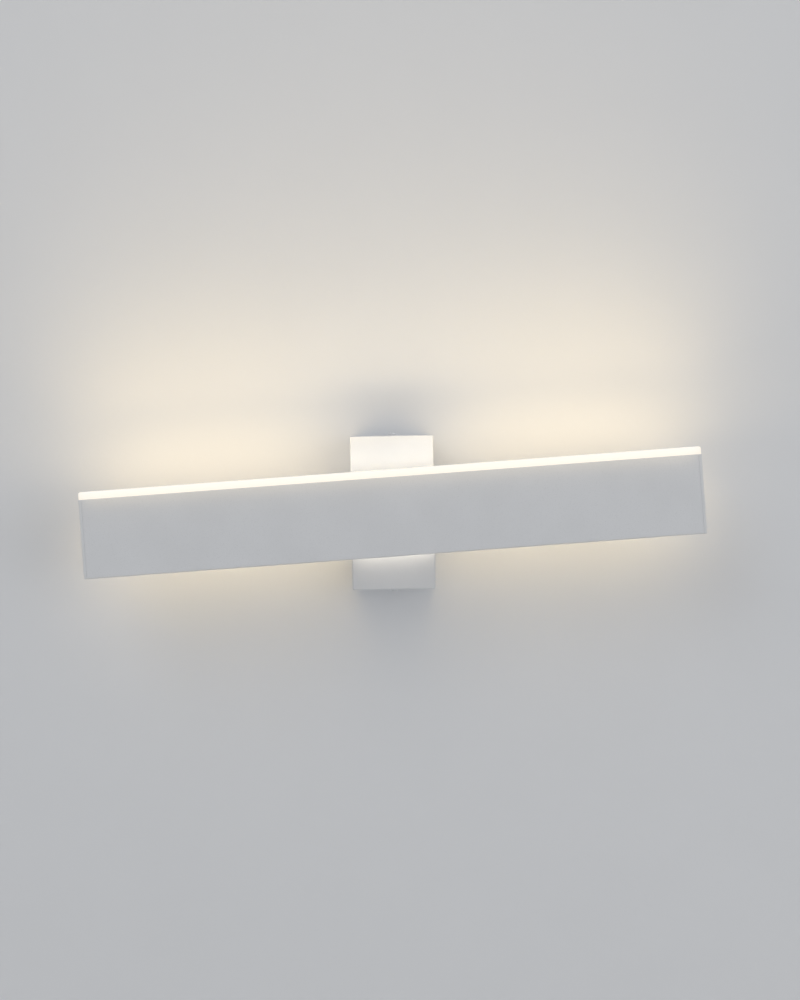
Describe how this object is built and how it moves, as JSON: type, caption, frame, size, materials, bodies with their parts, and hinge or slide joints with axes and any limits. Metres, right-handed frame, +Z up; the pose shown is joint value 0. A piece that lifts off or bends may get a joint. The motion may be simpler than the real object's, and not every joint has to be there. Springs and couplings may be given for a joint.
{
  "type": "swivelling bar wall light",
  "caption": "White wall light: a slim upright box carries a long rectangular bar on a friction swivel at its middle, with a glowing opal strip along the bar's upper edge.",
  "frame": {"origin": "centre of the bracket's two wall screw slots in the plane of the wall, on the axis of the swivel", "axes": "+Z up, +Y into the wall, +X to the right seen from the room, along the box's front"},
  "size_m": [0.4024, 0.07, 0.1076],
  "materials": {
    "white_paint": "white satin powder coat, fine texture",
    "bracket_steel": "zinc-plated sheet",
    "screw_steel": "zinc-plated, turned",
    "white_screw": "white painted screw heads",
    "stem_steel": "turned, zinc-plated",
    "spring_steel": "spring steel",
    "terminal_brass": "nickel-free turned brass",
    "earth_copper": "tinned copper tag",
    "rubber_black": "moulded rubber",
    "bush_plastic": "natural acetal",
    "washer_fibre": "red vulcanised fibre",
    "terminal_plastic": "moulded polyamide",
    "driver_plastic": "moulded polycarbonate",
    "board_green": "solder-masked laminate",
    "board_white": "white solder mask",
    "ferrite": "ferrite with a taped winding",
    "capacitor_sleeve": "shrunk sleeve",
    "filter_plastic": "moulded epoxy",
    "led_phosphor": "phosphor over white package",
    "opal": "opal diffuser, satin, lit warm white",
    "tray_aluminium": "mill finish strip",
    "lead_brown": "insulated core",
    "lead_blue": "insulated core",
    "lead_earth": "insulated core, green with a yellow stripe",
    "lead_white": "round two-core sheath",
    "connector_plastic": "moulded connector"
  },
  "bodies": {
    "base": {"base_cover": "white_paint", "cover_screws": "white_screw", "wall_bracket": "bracket_steel", "cable_grommet": "rubber_black", "terminal_block": "terminal_plastic", "terminal_tubes": "terminal_brass", "terminal_screws": "screw_steel", "terminal_fixing_screws": "screw_steel", "earth_tag": "earth_copper", "earth_screw": "screw_steel", "driver_case": "driver_plastic", "driver_lid": "driver_plastic", "driver_board": "board_green", "driver_transformer": "ferrite", "driver_capacitors": "capacitor_sleeve", "driver_filter": "filter_plastic", "driver_screws": "screw_steel", "live_lead": "lead_brown", "neutral_lead": "lead_blue", "earth_lead": "lead_earth", "output_lead": "lead_white", "pivot_bush": "bush_plastic", "friction_washer": "washer_fibre", "stop_pin": "screw_steel"},
    "bar": {"pivot_stem": "stem_steel", "stem_screws": "screw_steel", "pivot_collar": "white_paint", "stop_washer": "bracket_steel", "disc_spring": "spring_steel", "swivel_nuts": "screw_steel", "bar_profile": "white_paint", "end_cap_left": "white_paint", "end_cap_right": "white_paint", "end_cap_screws": "white_screw", "led_tray": "tray_aluminium", "led_board": "board_white", "led_chips": "led_phosphor", "led_board_screws": "screw_steel", "board_connector": "connector_plastic", "led_lead": "lead_white", "diffuser": "opal"}
  },
  "joints": [
    {"name": "bar_swivel", "type": "hinge", "parent": "base", "child": "bar", "pos_m": [0, 0, 0], "axis": [0, -1, 0], "range_deg": [-173.2, 166.8]}
  ]
}
